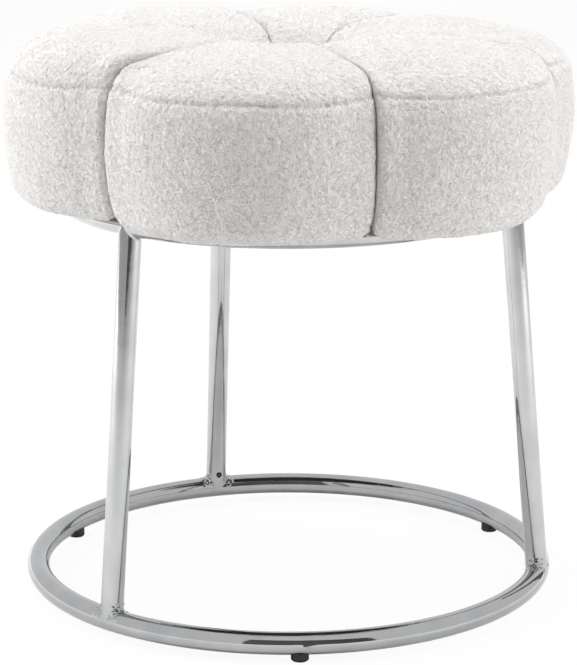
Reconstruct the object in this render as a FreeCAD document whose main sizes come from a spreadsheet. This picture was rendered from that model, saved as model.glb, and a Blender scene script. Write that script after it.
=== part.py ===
import FreeCAD, Part
import math
import os
import re
import Sketcher

# Round vanity stool: a six-lobed tufted cushion on a welded frame of bent steel tube.
# Millimetres. +Z is up, and the origin is on the floor at the stool's centre.
# Angles are measured from +X towards +Y, and -Y is the front.

V = FreeCAD.Vector
UP = V(0, 0, 1)

doc = FreeCAD.newDocument("vanity_stool")
sheet = doc.addObject("Spreadsheet::Sheet", "Sizes")

SIZES = {
    # Frame: two rings of one tube size, joined by three leaning legs.
    "tube_diameter": 19,
    "tube_wall": 1.2,
    "base_ring_radius": 222,
    "top_ring_radius": 193,
    "frame_rise": 331.5,
    "cope_trim": 2,
    "drain_diameter": 8,
    "vent_diameter": 5.6,
    "vent_rise": 14.5,
    # Weld beads at the ends of the legs and under the seat tabs.
    "bead_radius": 3.4,
    "bead_half_angle": 66,
    "tab_bead_radius": 2.2,
    "tab_bead_end": 3,
    # Rubber feet pushed into the base ring from below.
    "foot_stand": 5,
    "foot_diameter": 14.8,
    "foot_chamfer": 1,
    "foot_saddle": 2.6,
    "foot_turn": 44,
    "stem_diameter": 5.6,
    "stem_clearance": 0.15,
    "barb_diameter": 7.4,
    "barb_tip_diameter": 3.7,
    "barb_length": 4,
    "barb_gap": 0.3,
    # Steel tabs welded inside the top ring, which carry the seat bolts.
    "tab_thickness": 3,
    "tab_width": 28,
    "tab_land": 5,
    "tab_turn": 60,
    "bolt_inset": 25,
    # Seat bolts, washers and tee nuts.
    "bolt_diameter": 6,
    "bolt_length": 20,
    "bolt_clearance": 0.3,
    "thread_clearance": 0.05,
    "head_diameter": 10.5,
    "head_height": 3.4,
    "head_bevel": 1.4,
    "socket_across": 4,
    "socket_depth": 2,
    "washer_diameter": 14,
    "washer_thickness": 1.6,
    "spring_washer_diameter": 11.6,
    "spring_washer_thickness": 1.6,
    "spring_washer_gap": 1.4,
    "tee_flange_diameter": 19,
    "tee_flange_thickness": 1.5,
    "tee_barrel_diameter": 7.8,
    "tee_length": 10,
    # Plywood seat board.
    "board_thickness": 12,
    "board_inset": 26,
    "board_valley_round": 6,
    # Cushion: six lobes, each turned about its own upright axis.
    "cushion_overhang": 54.5,
    "cushion_height": 132,
    "dome_radius": 520,
    "shoulder_radius": 38,
    "side_radius": 200,
    "side_height": 68,
    "edge_radius": 24,
    "edge_lap": 5.3,
    "ring_clearance": 3.5,
    "cover_thickness": 4,
    "seam_depth": 7,
    "foam_clearance": 0.3,
    "pit_radius": 34,
    "pit_depth": 38,
    # Turned-under hem, dust cover and staples below the board.
    "hem_width": 48,
    "hem_lap": 5,
    "hem_hole_clearance": 1.5,
    "dust_cover_thickness": 0.8,
    "dust_cover_inset": 3,
    "staple_inset": 17,
    "staple_crown": 11,
    "staple_wire": 1,
    "staple_bite": 6,
    # Tufting twine that holds the middle of the cushion down.
    "twine_diameter": 2.4,
    "twine_clearance": 0.3,
    "knot_radius": 3,
    "tuft_washer_diameter": 24,
    "tuft_washer_thickness": 1.2,
    "lower_knot_height": 2,
}
for row, (alias, size) in enumerate(SIZES.items(), start=1):
    sheet.set(f"A{row}", str(size))
    sheet.setAlias(f"A{row}", alias)
doc.recompute()

# A lobe's own axis stands this share of the cushion's reach out from the middle.
LOBE_SHARE = 0.45
LOBE_SPAN = 60
STAPLE_COUNT = 24

# Levels and radii that several pieces share, as formulas of the sheet's values.
TUBE = "(tube_diameter / 2)"
BASE_AXIS = f"(foot_stand + {TUBE})"
TOP_AXIS = f"({BASE_AXIS} + frame_rise)"
RING_TOP = f"({TOP_AXIS} + {TUBE})"
LEAN = "atan2(base_ring_radius - top_ring_radius; frame_rise)"
LEG_LENGTH = "sqrt((base_ring_radius - top_ring_radius) ^ 2 + frame_rise ^ 2)"
HEM_BOTTOM = f"({RING_TOP} + dust_cover_thickness)"
BOARD_BOTTOM = f"({HEM_BOTTOM} + cover_thickness)"
BOARD_TOP = f"({BOARD_BOTTOM} + board_thickness)"
CREST = f"({HEM_BOTTOM} + cushion_height)"
EDGE_BOTTOM = f"({HEM_BOTTOM} - edge_lap)"
BOLT_CIRCLE = "(top_ring_radius - bolt_inset)"
TAB_BOTTOM = f"({RING_TOP} - tab_thickness)"
HEAD_SEAT = f"({TAB_BOTTOM} - washer_thickness - spring_washer_thickness)"
PIT_FLOOR = f"({CREST} - pit_depth)"
THROAT = "(twine_diameter / 2 + twine_clearance)"
RELIEF = f"(top_ring_radius + {TUBE} + ring_clearance)"
HEM_OUTER = "(top_ring_radius + hem_lap)"
CUSHION_REACH = "(top_ring_radius + cushion_overhang)"
LOBE_OFFSET = f"({CUSHION_REACH} * {LOBE_SHARE})"
LOBE_RADIUS = f"({CUSHION_REACH} - {LOBE_OFFSET})"

LEG_ANGLES = {"leg_right": 0, "leg_back": 120, "leg_front_left": 240}
TAB_ANGLES = {"seat_tab_back_right": 0, "seat_tab_left": 120, "seat_tab_front_right": 240}
FOOT_ANGLES = {"foot_back_right": 0, "foot_left": 120, "foot_front": 240}
LOBE_ANGLES = {
    "cover_back_right": 30,
    "cover_back": 90,
    "cover_back_left": 150,
    "cover_front_left": 210,
    "cover_front": 270,
    "cover_front_right": 330,
}


def formula(text):
    """The text with every alias written as a reference to its cell."""
    return re.sub(r"[a-z_]+", lambda word: f"Sizes.{word[0]}" if word[0] in SIZES else word[0], text)


def value(text):
    """What a formula gives now, as a plain number."""
    result = sheet.evalExpression(formula(text))
    return float(getattr(result, "Value", result))


def bind(thing, formulas):
    """Tie properties of an object to formulas of the sheet's values."""
    for name, text in formulas.items():
        thing.setExpression(name, formula(text))
    return thing


def primitive(kind, name, formulas, rotation=None):
    """A primitive with its sizes and place tied to the sheet."""
    thing = doc.addObject(f"Part::{kind}", name)
    if rotation:
        thing.Placement = FreeCAD.Placement(V(), rotation)
    return bind(thing, formulas)


def disc(name, radius, bottom, top, x="0"):
    """An upright cylinder between two levels."""
    sizes = {"Radius": radius, "Height": f"{top} - {bottom}", "Placement.Base.x": x, "Placement.Base.z": bottom}
    return primitive("Cylinder", name, sizes)


def cut(name, base, *tools):
    """The base with every tool taken away, one after the other."""
    for number, tool in enumerate(tools, start=1):
        last = number == len(tools)
        step = doc.addObject("Part::Cut", name if last else f"{name}_step_{number}")
        step.Base = base
        step.Tool = tool
        base = step
    return base


def fuse(name, *pieces):
    """The pieces joined into one solid."""
    joined = doc.addObject("Part::MultiFuse", name)
    joined.Shapes = list(pieces)
    joined.Refine = True
    return joined


def common(name, base, tool):
    """What two solids share."""
    shared = doc.addObject("Part::Common", name)
    shared.Base = base
    shared.Tool = tool
    return shared


def turn(thing, angle):
    """Turn an object about the stool's axis by a formula or a number of degrees."""
    thing.Placement = FreeCAD.Placement(V(), FreeCAD.Rotation(UP, 1))
    return bind(thing, {"Placement.Rotation.Angle": str(angle)})


def group(name, things):
    """Separate solids kept together under one name."""
    kept = doc.addObject("Part::Compound", name)
    kept.Links = list(things)
    return kept


def round_the_axis(name, thing, angles):
    """One copy of a solid at each angle about the stool's axis, as separate solids."""
    copies = [turn(group(f"{name}_{number}", [thing]), angle) for number, angle in enumerate(angles, start=1)]
    return group(name, copies)


def plane(body, role):
    """One of a body's own origin planes."""
    return next(item for item in body.Origin.OriginFeatures if item.Role == role)


def sketch_on(body, role, name):
    """An empty sketch on one of a body's origin planes."""
    sketch = body.newObject("Sketcher::SketchObject", name)
    sketch.AttachmentSupport = (plane(body, role), [""])
    sketch.MapMode = "FlatFace"
    return sketch


def dimension(sketch, kind, text, *where):
    """A named dimension of a sketch, tied to a formula."""
    index = sketch.addConstraint(Sketcher.Constraint(kind, *where, value(text)))
    sketch.setExpression(f"Constraints[{index}]", formula(text))


def turned(name, outline):
    """A solid of revolution about the Z axis. The outline lists (radius, level) formulas in order."""
    body = doc.addObject("PartDesign::Body", name)
    sketch = sketch_on(body, "XZ_Plane", f"{name}_outline")
    points = [V(value(radius), value(level), 0) for radius, level in outline]
    for number, point in enumerate(points):
        sketch.addGeometry(Part.LineSegment(point, points[(number + 1) % len(points)]), False)
    for number, (radius, level) in enumerate(outline):
        before = (number - 1) % len(outline)
        sketch.addConstraint(Sketcher.Constraint("Coincident", before, 2, number, 1))
        if radius == "0":
            sketch.addConstraint(Sketcher.Constraint("PointOnObject", number, 1, -2))
        else:
            dimension(sketch, "DistanceX", radius, -1, 1, number, 1)
        dimension(sketch, "DistanceY", level, -1, 1, number, 1)
    spin = body.newObject("PartDesign::Revolution", f"{name}_turning")
    spin.Profile = sketch
    spin.ReferenceAxis = (sketch, ["V_Axis"])
    spin.Angle = 360
    return body


def tube_ring(name, ring_radius, tube_radius, level):
    """A solid round ring that lies flat at a level: a circle turned about the Z axis.

    Its surface closes at +Y, clear of the legs, feet and tabs that meet it.
    """
    body = doc.addObject("PartDesign::Body", name)
    sketch = sketch_on(body, "XZ_Plane", f"{name}_circle")
    centre = V(value(ring_radius), value(level), 0)
    sketch.addGeometry(Part.Circle(centre, UP, value(tube_radius)), False)
    dimension(sketch, "Radius", tube_radius, 0)
    dimension(sketch, "DistanceX", ring_radius, -1, 1, 0, 3)
    dimension(sketch, "DistanceY", level, -1, 1, 0, 3)
    spin = body.newObject("PartDesign::Revolution", f"{name}_turning")
    spin.Profile = sketch
    spin.ReferenceAxis = (sketch, ["V_Axis"])
    spin.Angle = 360
    return turn(body, 90)


def lobe_centres(inset):
    """Centres and radii of a lobe's four tangent arcs, in the lobe's own (radius, level) plane."""
    dome = V(0, value(CREST) - value("dome_radius"), 0)
    side = V(value(f"{LOBE_RADIUS} - side_radius"), value(f"{EDGE_BOTTOM} + side_height"), 0)
    to_side = value("dome_radius - shoulder_radius")
    from_side = value("side_radius - shoulder_radius")
    apart = (side - dome).Length
    along = (to_side ** 2 - from_side ** 2 + apart ** 2) / (2 * apart)
    across = math.sqrt(to_side ** 2 - along ** 2)
    direction = (side - dome).normalize()
    shoulder = dome + direction * along + V(-direction.y, direction.x, 0) * across
    if shoulder.y < side.y:
        shoulder = dome + direction * along - V(-direction.y, direction.x, 0) * across
    level = value(f"{EDGE_BOTTOM} + edge_radius")
    reach = math.sqrt(value("side_radius - edge_radius") ** 2 - (side.y - level) ** 2)
    edge = V(side.x + reach, level, 0)
    radii = [value(f"{name} - {inset}") for name in ("dome_radius", "shoulder_radius", "side_radius", "edge_radius")]
    return [dome, shoulder, side, edge], radii


def lobe(name, inset):
    """A whole lobe, turned about its own upright axis. The inset moves its skin inwards all round."""
    body = doc.addObject("PartDesign::Body", name)
    sketch = sketch_on(body, "XZ_Plane", f"{name}_outline")
    (dome, shoulder, side, edge), radii = lobe_centres(inset)
    shoulder_top = dome + (shoulder - dome).normalize() * radii[0]
    shoulder_low = side + (shoulder - side).normalize() * radii[2]
    side_low = side + (edge - side).normalize() * radii[2]
    corners = [dome + V(0, radii[0], 0), shoulder_top, shoulder_low, side_low, edge - V(0, radii[3], 0)]
    for centre, radius, start, end in zip((dome, shoulder, side, edge), radii, corners[1:], corners):
        first = math.atan2(start.y - centre.y, start.x - centre.x)
        last = math.atan2(end.y - centre.y, end.x - centre.x)
        sketch.addGeometry(Part.ArcOfCircle(Part.Circle(centre, UP, radius), first, last), False)
    foot = V(0, corners[-1].y, 0)
    sketch.addGeometry(Part.LineSegment(foot, corners[-1]), False)
    sketch.addGeometry(Part.LineSegment(corners[0], foot), False)
    for arc in (0, 1, 2):
        sketch.addConstraint(Sketcher.Constraint("Tangent", arc, 1, arc + 1, 2))
    sketch.addConstraint(Sketcher.Constraint("Tangent", 3, 1, 4, 2))
    sketch.addConstraint(Sketcher.Constraint("Coincident", 0, 2, 5, 1))
    sketch.addConstraint(Sketcher.Constraint("Coincident", 4, 1, 5, 2))
    sketch.addConstraint(Sketcher.Constraint("Horizontal", 4))
    for geometry, point in ((0, 3), (0, 2), (4, 1)):
        sketch.addConstraint(Sketcher.Constraint("PointOnObject", geometry, point, -2))
    for arc, radius in enumerate(("dome_radius", "shoulder_radius", "side_radius", "edge_radius")):
        dimension(sketch, "Radius", f"{radius} - {inset}", arc)
    dimension(sketch, "DistanceY", f"{CREST} - {inset}", -1, 1, 0, 2)
    dimension(sketch, "DistanceY", f"{EDGE_BOTTOM} + {inset}", -1, 1, 4, 1)
    dimension(sketch, "DistanceX", f"{LOBE_RADIUS} - side_radius", -1, 1, 2, 3)
    dimension(sketch, "DistanceY", f"{EDGE_BOTTOM} + side_height", -1, 1, 2, 3)
    spin = body.newObject("PartDesign::Revolution", f"{name}_turning")
    spin.Profile = sketch
    spin.ReferenceAxis = (sketch, ["V_Axis"])
    spin.Angle = 360
    return bind(body, {"Placement.Base.x": LOBE_OFFSET})


def seam_path(form, side_sign):
    """The line that a seam follows over a lobe: where the lobe's skin meets the upright seam plane."""
    half = math.radians(LOBE_SPAN / 2) * side_sign
    across = V(-math.sin(half), math.cos(half), 0)
    floor = form.Shape.BoundBox.ZMin
    on_seam = []
    for edge in form.Shape.Edges:
        if edge.Degenerated or isinstance(edge.Curve, Part.Line):
            continue
        points = edge.discretize(5)
        flat = all(abs(point.z - floor) < 1e-3 for point in points)
        if not flat and all(abs(point.dot(across)) < 1e-3 for point in points):
            on_seam.append(edge)
    runs = [Part.Wire(run) for run in Part.sortEdges(on_seam)]
    return max(runs, key=lambda run: run.Length), across


def seam_groove(name, form, depth):
    """The sewn crease along both seams of a lobe, as a solid to cut away: a square swept on its corner."""
    grooves = []
    for side_sign in (1, -1):
        path, across = seam_path(form, side_sign)
        first = path.OrderedEdges[0]
        start = path.OrderedVertexes[0].Point
        at_start = (first.valueAt(first.FirstParameter) - start).Length < 1e-3
        along = first.tangentAt(first.FirstParameter if at_start else first.LastParameter)
        out = along.cross(across).normalize()
        corners = [start + across * depth, start + out * depth, start - across * depth, start - out * depth]
        section = Part.makePolygon(corners + corners[:1])
        grooves.append(path.makePipeShell([section], True, False))
    groove = doc.addObject("Part::Feature", name)
    groove.Shape = Part.makeCompound(grooves)
    return groove


def cushion_segment(name, inset):
    """One sixth of the cushion: a lobe between its two seam planes."""
    whole = lobe(f"{name}_lobe", inset)
    sizes = {"Radius": f"2 * {CUSHION_REACH}", "Height": f"2 * {CREST}"}
    sector = primitive("Cylinder", f"{name}_sector", sizes, FreeCAD.Rotation(UP, -LOBE_SPAN / 2))
    sector.Angle = LOBE_SPAN
    form = common(f"{name}_form", whole, sector)
    doc.recompute()
    return form


# Tools that stand for the solid rings and legs, used to cope what meets them.
base_rod = tube_ring("base_rod", "base_ring_radius", TUBE, BASE_AXIS)
top_rod = tube_ring("top_rod", "top_ring_radius", TUBE, TOP_AXIS)
LEANING = FreeCAD.Rotation(V(0, -1, 0), 1)


def leg_rod(name, radius, start, length):
    """A rod on the line of the first leg, from a distance along that line."""
    sizes = {
        "Radius": radius,
        "Height": length,
        "Placement.Base.x": f"base_ring_radius - ({start}) * sin({LEAN})",
        "Placement.Base.z": f"{BASE_AXIS} + ({start}) * cos({LEAN})",
        "Placement.Rotation.Angle": LEAN,
    }
    return primitive("Cylinder", name, sizes, LEANING)


def rings_and_legs():
    """The bent rings, open to the legs through drain holes, and the coped legs between them."""
    wall_bore = f"{TUBE} - tube_wall"
    drain = round_the_axis("drains", leg_rod("drain", "drain_diameter / 2", "0", LEG_LENGTH), LEG_ANGLES.values())
    stem_bore = disc("stem_bore", "stem_diameter / 2 + stem_clearance", "0", BASE_AXIS, "base_ring_radius")
    stem_bores = round_the_axis("stem_bores", stem_bore, [f"foot_turn + {angle}" for angle in FOOT_ANGLES.values()])
    cut("base_ring", base_rod, tube_ring("base_bore", "base_ring_radius", wall_bore, BASE_AXIS), drain, stem_bores)
    cut("top_ring", top_rod, tube_ring("top_bore", "top_ring_radius", wall_bore, TOP_AXIS), drain)
    trimmed = f"{LEG_LENGTH} - 2 * cope_trim"
    outside = leg_rod("leg_outside", TUBE, "cope_trim", trimmed)
    inside = leg_rod("leg_inside", wall_bore, "cope_trim", trimmed)
    coped = cut("leg_coped", outside, inside, base_rod, top_rod)
    vent_sizes = {
        "Radius": "vent_diameter / 2",
        "Height": "tube_diameter",
        "Placement.Base.x": f"base_ring_radius - vent_rise * tan({LEAN}) - tube_diameter",
        "Placement.Base.z": f"{BASE_AXIS} + vent_rise",
    }
    vent = primitive("Cylinder", "vent", vent_sizes, FreeCAD.Rotation(V(0, 1, 0), 90))
    for name, angle in LEG_ANGLES.items():
        turn(cut(name, coped, vent), angle)


def leg_beads(name, ring_radius, ring_axis, ring_rod, climb):
    """Weld beads in the two corners between a leg and a ring, laid along the cope's sloping ellipses."""
    leg = leg_rod(f"{name}_leg", TUBE, "0", LEG_LENGTH)
    beads = []
    for side, way in (("left", -1), ("right", 1)):
        major = V(0, way, climb).normalize()
        minor = V(1, 0, 0)
        lie = FreeCAD.Rotation(major, minor, major.cross(minor), "XYZ")
        sizes = {
            "MajorRadius": f"{TUBE} * sqrt(2)",
            "MinorRadius": TUBE,
            "Angle1": "360 - bead_half_angle",
            "Angle2": "360 + bead_half_angle",
            "Placement.Base.x": ring_radius,
            "Placement.Base.z": ring_axis,
        }
        spine = primitive("Ellipse", f"{name}_spine_{side}", sizes, lie)
        doc.recompute()
        edge = spine.Shape.Edges[0]
        start, end = edge.valueAt(edge.FirstParameter), edge.valueAt(edge.LastParameter)
        radius = value("bead_radius")
        section = Part.Wire(Part.makeCircle(radius, start, edge.tangentAt(edge.FirstParameter)))
        rope = Part.Wire(edge).makePipeShell([section], True, False)
        ends = [Part.makeSphere(radius, point) for point in (start, end)]
        whole = doc.addObject("Part::Feature", f"{name}_{side}_rope")
        whole.Shape = rope.fuse(ends).removeSplitter()
        beads.append(cut(f"{name}_{side}", whole, leg, ring_rod))
    copies = []
    for bead in beads:
        copies.extend(round_the_axis(f"{bead.Name}_copies", bead, LEG_ANGLES.values()).Links)
    return group(name, copies)


def feet():
    """Rubber feet: a round head saddled to the tube, and a barbed stem pushed through the tube's wall."""
    head_top = "foot_stand + foot_saddle"
    head = turned("foot_head", [
        ("0", "0"),
        ("foot_diameter / 2 - foot_chamfer", "0"),
        ("foot_diameter / 2", "foot_chamfer"),
        ("foot_diameter / 2", head_top),
        ("0", head_top),
    ])
    barb_foot = f"{BASE_AXIS} - sqrt(({TUBE} - tube_wall) ^ 2 - (barb_diameter / 2) ^ 2) + barb_gap"
    stem = turned("foot_stem", [
        ("0", "foot_stand / 2"),
        ("stem_diameter / 2", "foot_stand / 2"),
        ("stem_diameter / 2", barb_foot),
        ("barb_diameter / 2", barb_foot),
        ("barb_tip_diameter / 2", f"{barb_foot} + barb_length"),
        ("0", f"{barb_foot} + barb_length"),
    ])
    for piece in (head, stem):
        bind(piece, {"Placement.Base.x": "base_ring_radius"})
    saddled = cut("foot_saddled", head, base_rod)
    for name, angle in FOOT_ANGLES.items():
        turn(fuse(name, saddled, stem), f"foot_turn + {angle}")


def seat_tabs():
    """Flat tabs with a round nose and a bolt hole, coped to the inside of the top ring, each with a weld bead."""
    plate_sizes = {
        "Length": "bolt_inset - tab_land",
        "Width": "tab_width",
        "Height": "tab_thickness",
        "Placement.Base.x": BOLT_CIRCLE,
        "Placement.Base.y": "-tab_width / 2",
        "Placement.Base.z": TAB_BOTTOM,
    }
    plate = primitive("Box", "tab_plate", plate_sizes)
    nose = disc("tab_nose", "tab_width / 2", TAB_BOTTOM, RING_TOP, BOLT_CIRCLE)
    hole = disc("tab_hole", "bolt_diameter / 2 + bolt_clearance", TAB_BOTTOM, RING_TOP, BOLT_CIRCLE)
    blank = fuse("tab_blank", plate, nose)
    coped = cut("tab_coped", blank, top_rod)
    for name, angle in TAB_ANGLES.items():
        turn(cut(name, coped, hole), f"tab_turn + {angle}")
    bead_sizes = {
        "Radius": "tab_bead_radius",
        "Height": "tab_width - 2 * tab_bead_end",
        "Placement.Base.x": f"top_ring_radius - sqrt({TUBE} ^ 2 - ({TUBE} - tab_thickness) ^ 2)",
        "Placement.Base.y": "tab_width / 2 - tab_bead_end",
        "Placement.Base.z": TAB_BOTTOM,
    }
    rod = primitive("Cylinder", "tab_bead_rod", bead_sizes, FreeCAD.Rotation(V(1, 0, 0), 90))
    bead = cut("tab_bead", rod, blank, top_rod)
    round_the_axis("tab_welds", bead, [f"tab_turn + {angle}" for angle in TAB_ANGLES.values()])


def at_bolts(name, thing):
    """Copies of a fastener at the three seat tabs."""
    bind(thing, {"Placement.Base.x": BOLT_CIRCLE})
    return round_the_axis(name, thing, [f"tab_turn + {angle}" for angle in TAB_ANGLES.values()])


def washer(name, outside, inside, bottom, top):
    """A flat ring of rectangular section."""
    return turned(name, [(inside, bottom), (outside, bottom), (outside, top), (inside, top)])


def seat_fasteners():
    """Button-head bolts with flat and split washers, driven up into tee nuts in the board."""
    shank = "bolt_diameter / 2"
    head_low = f"{HEAD_SEAT} - head_height"
    bolt = turned("bolt_turned", [
        ("0", head_low),
        ("head_diameter / 2 - head_bevel", head_low),
        ("head_diameter / 2", f"{head_low} + head_bevel"),
        ("head_diameter / 2", HEAD_SEAT),
        (shank, HEAD_SEAT),
        (shank, f"{HEAD_SEAT} + bolt_length"),
        ("0", f"{HEAD_SEAT} + bolt_length"),
    ])
    socket_sizes = {
        "Circumradius": "socket_across / sqrt(3)",
        "Height": "socket_depth",
        "Placement.Base.z": head_low,
    }
    socket = primitive("Prism", "bolt_socket", socket_sizes)
    at_bolts("seat_bolts", cut("seat_bolt", bolt, socket))
    bore = "bolt_diameter / 2 + bolt_clearance"
    flat_low = f"{TAB_BOTTOM} - washer_thickness"
    at_bolts("flat_washers", washer("flat_washer", "washer_diameter / 2", bore, flat_low, TAB_BOTTOM))
    ring = washer("spring_ring", "spring_washer_diameter / 2", bore, HEAD_SEAT, flat_low)
    gap_sizes = {
        "Length": "spring_washer_diameter",
        "Width": "spring_washer_gap",
        "Height": "3 * spring_washer_thickness",
        "Placement.Base.y": "-spring_washer_gap / 2",
        "Placement.Base.z": f"{HEAD_SEAT} - spring_washer_thickness",
    }
    gap = primitive("Box", "spring_gap", gap_sizes)
    at_bolts("spring_washers", cut("spring_washer", ring, gap))
    thread = "bolt_diameter / 2 + thread_clearance"
    flange_low = f"{BOARD_TOP} - tee_flange_thickness"
    barrel_low = f"{BOARD_TOP} - tee_length"
    tee = turned("tee_nut", [
        (thread, barrel_low),
        ("tee_barrel_diameter / 2", barrel_low),
        ("tee_barrel_diameter / 2", flange_low),
        ("tee_flange_diameter / 2", flange_low),
        ("tee_flange_diameter / 2", BOARD_TOP),
        (thread, BOARD_TOP),
    ])
    at_bolts("tee_nuts", tee)


def staples():
    """Staples through the dust cover and the hem into the board: a crown and two legs, as one bent wire."""
    crown_low = f"{RING_TOP} - staple_wire"
    leg_top = f"{BOARD_BOTTOM} + staple_bite"
    body = doc.addObject("PartDesign::Body", "staple")
    sketch = sketch_on(body, "YZ_Plane", "staple_outline")
    half = "staple_crown / 2"
    inner = f"{half} - staple_wire"
    corners = [
        (f"-({half})", crown_low), (half, crown_low), (half, leg_top), (inner, leg_top),
        (inner, RING_TOP), (f"-({inner})", RING_TOP), (f"-({inner})", leg_top), (f"-({half})", leg_top),
    ]
    points = [V(value(across), value(level), 0) for across, level in corners]
    for number, point in enumerate(points):
        sketch.addGeometry(Part.LineSegment(point, points[(number + 1) % len(points)]), False)
    for number, (across, level) in enumerate(corners):
        sketch.addConstraint(Sketcher.Constraint("Coincident", (number - 1) % len(corners), 2, number, 1))
        dimension(sketch, "DistanceX", across, -1, 1, number, 1)
        dimension(sketch, "DistanceY", level, -1, 1, number, 1)
    wire = body.newObject("PartDesign::Pad", "staple_wire_pad")
    wire.Profile = sketch
    wire.Midplane = True
    bind(wire, {"Length": "staple_wire"})
    bind(body, {"Placement.Base.x": "top_ring_radius - staple_inset"})
    step = 360 / STAPLE_COUNT
    return round_the_axis("staples", body, [step * (number + 0.5) for number in range(STAPLE_COUNT)])


def seat_board(staple_group):
    """The plywood board: six overlapping round lobes with eased valleys, bored for the tee nuts and the twine.

    Gives the blank before it is bored, which shapes the foam and the cover.
    """
    body = doc.addObject("PartDesign::Body", "board_blank")
    middle = sketch_on(body, "XY_Plane", "board_middle")
    middle.addGeometry(Part.Circle(V(), UP, value(LOBE_OFFSET)), False)
    middle.addConstraint(Sketcher.Constraint("Coincident", 0, 3, -1, 1))
    dimension(middle, "Radius", LOBE_OFFSET, 0)
    hub = body.newObject("PartDesign::Pad", "board_hub")
    hub.Profile = middle
    bind(hub, {"Length": "board_thickness"})
    sketch = sketch_on(body, "XY_Plane", "board_lobe")
    radius = f"{LOBE_RADIUS} - board_inset"
    sketch.addGeometry(Part.Circle(V(value(LOBE_OFFSET), 0, 0), UP, value(radius)), False)
    sketch.addConstraint(Sketcher.Constraint("PointOnObject", 0, 3, -1))
    dimension(sketch, "DistanceX", LOBE_OFFSET, -1, 1, 0, 3)
    dimension(sketch, "Radius", radius, 0)
    pad = body.newObject("PartDesign::Pad", "board_pad")
    pad.Profile = sketch
    bind(pad, {"Length": "board_thickness"})
    doc.recompute()
    pattern = body.newObject("PartDesign::PolarPattern", "board_lobes")
    pattern.Originals = [pad]
    pattern.Axis = (sketch, ["N_Axis"])
    pattern.Angle = 360
    pattern.Occurrences = len(LOBE_ANGLES)
    body.Tip = pattern
    doc.recompute()
    valleys = []
    for number, edge in enumerate(pattern.Shape.Edges, start=1):
        upright = isinstance(edge.Curve, Part.Line) and abs(edge.Vertexes[0].Z - edge.Vertexes[-1].Z) > 1e-3
        reach = math.hypot(edge.Vertexes[0].X, edge.Vertexes[0].Y)
        on_seam = abs(math.degrees(math.atan2(edge.Vertexes[0].Y, edge.Vertexes[0].X)) % LOBE_SPAN - LOBE_SPAN / 2) < 1
        if upright and on_seam and reach > value(LOBE_OFFSET):
            valleys.append(f"Edge{number}")
    eased = body.newObject("PartDesign::Fillet", "board_eased")
    eased.Base = (pattern, valleys)
    bind(eased, {"Radius": "board_valley_round"})
    body.Tip = eased
    turn(body, LOBE_SPAN / 2)
    bind(body, {"Placement.Base.z": BOARD_BOTTOM})
    barrel = disc("tee_barrel_bore", "tee_barrel_diameter / 2", BOARD_BOTTOM, BOARD_TOP, BOLT_CIRCLE)
    flange_low = f"{BOARD_TOP} - tee_flange_thickness"
    flange = disc("tee_flange_bore", "tee_flange_diameter / 2", f"({flange_low})", BOARD_TOP, BOLT_CIRCLE)
    turns = [f"tab_turn + {angle}" for angle in TAB_ANGLES.values()]
    bores = round_the_axis("tee_bores", fuse("tee_bore", barrel, flange), turns)
    twine_hole = disc("board_twine_hole", THROAT, BOARD_BOTTOM, BOARD_TOP)
    cut("seat_board", body, bores, twine_hole, staple_group)
    return body


def middle_pit(name, inset):
    """The round pit where the seams meet: its wall rolls over from the crest down to the twine."""
    plug = disc(f"{name}_plug", "pit_radius", f"({PIT_FLOOR} - {inset})", f"({CREST} + pit_depth)")
    roll = tube_ring(f"{name}_roll", "pit_radius", f"pit_radius - {THROAT} - {inset}", PIT_FLOOR)
    return cut(name, plug, roll)


def cushion(board_body):
    """Six sewn cover lobes over one block of foam. Each lobe is a padded skin, creased at its seams."""
    crease = value("seam_depth")
    skin = "cover_thickness"
    packed = "cover_thickness + foam_clearance"
    outer = cushion_segment("outer", "0")
    outer_groove = seam_groove("outer_groove", outer, crease)
    inner = cushion_segment("inner", skin)
    inner_groove = seam_groove("inner_groove", outer, crease + value(skin) * math.sqrt(2))
    filling = cushion_segment("filling", f"({packed})")
    filling_groove = seam_groove("filling_groove", outer, crease + value(packed) * math.sqrt(2))
    lap = disc("lap_relief", RELIEF, f"({EDGE_BOTTOM} - edge_lap)", HEM_BOTTOM)
    hem_seat = disc("hem_seat", HEM_OUTER, f"({EDGE_BOTTOM} - edge_lap)", BOARD_BOTTOM)
    inner_lap = disc("inner_lap", f"{RELIEF} + {skin}", f"({EDGE_BOTTOM} - edge_lap)", BOARD_BOTTOM)
    twine_bore = disc("twine_bore", THROAT, BOARD_BOTTOM, CREST)
    outer_pit = middle_pit("outer_pit", "0")
    outer_form = cut("outer_cut", outer, outer_groove, outer_pit, lap, hem_seat, twine_bore, board_body)
    inner_form = cut("inner_cut", inner, inner_groove, middle_pit("inner_pit", skin), inner_lap)
    for name, angle in LOBE_ANGLES.items():
        turn(cut(name, outer_form, inner_form), angle)
    wide_lap = disc("filling_lap", f"{RELIEF} + {packed}", f"({EDGE_BOTTOM} - edge_lap)", BOARD_BOTTOM)
    filling_pit = middle_pit("filling_pit", f"({packed})")
    sixth = cut("foam_sixth", filling, filling_groove, filling_pit, wide_lap)
    sixths = [turn(group(f"foam_sixth_{angle}", [sixth]), angle) for angle in LOBE_ANGLES.values()]
    return fuse("foam_whole", *sixths), twine_bore


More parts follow.
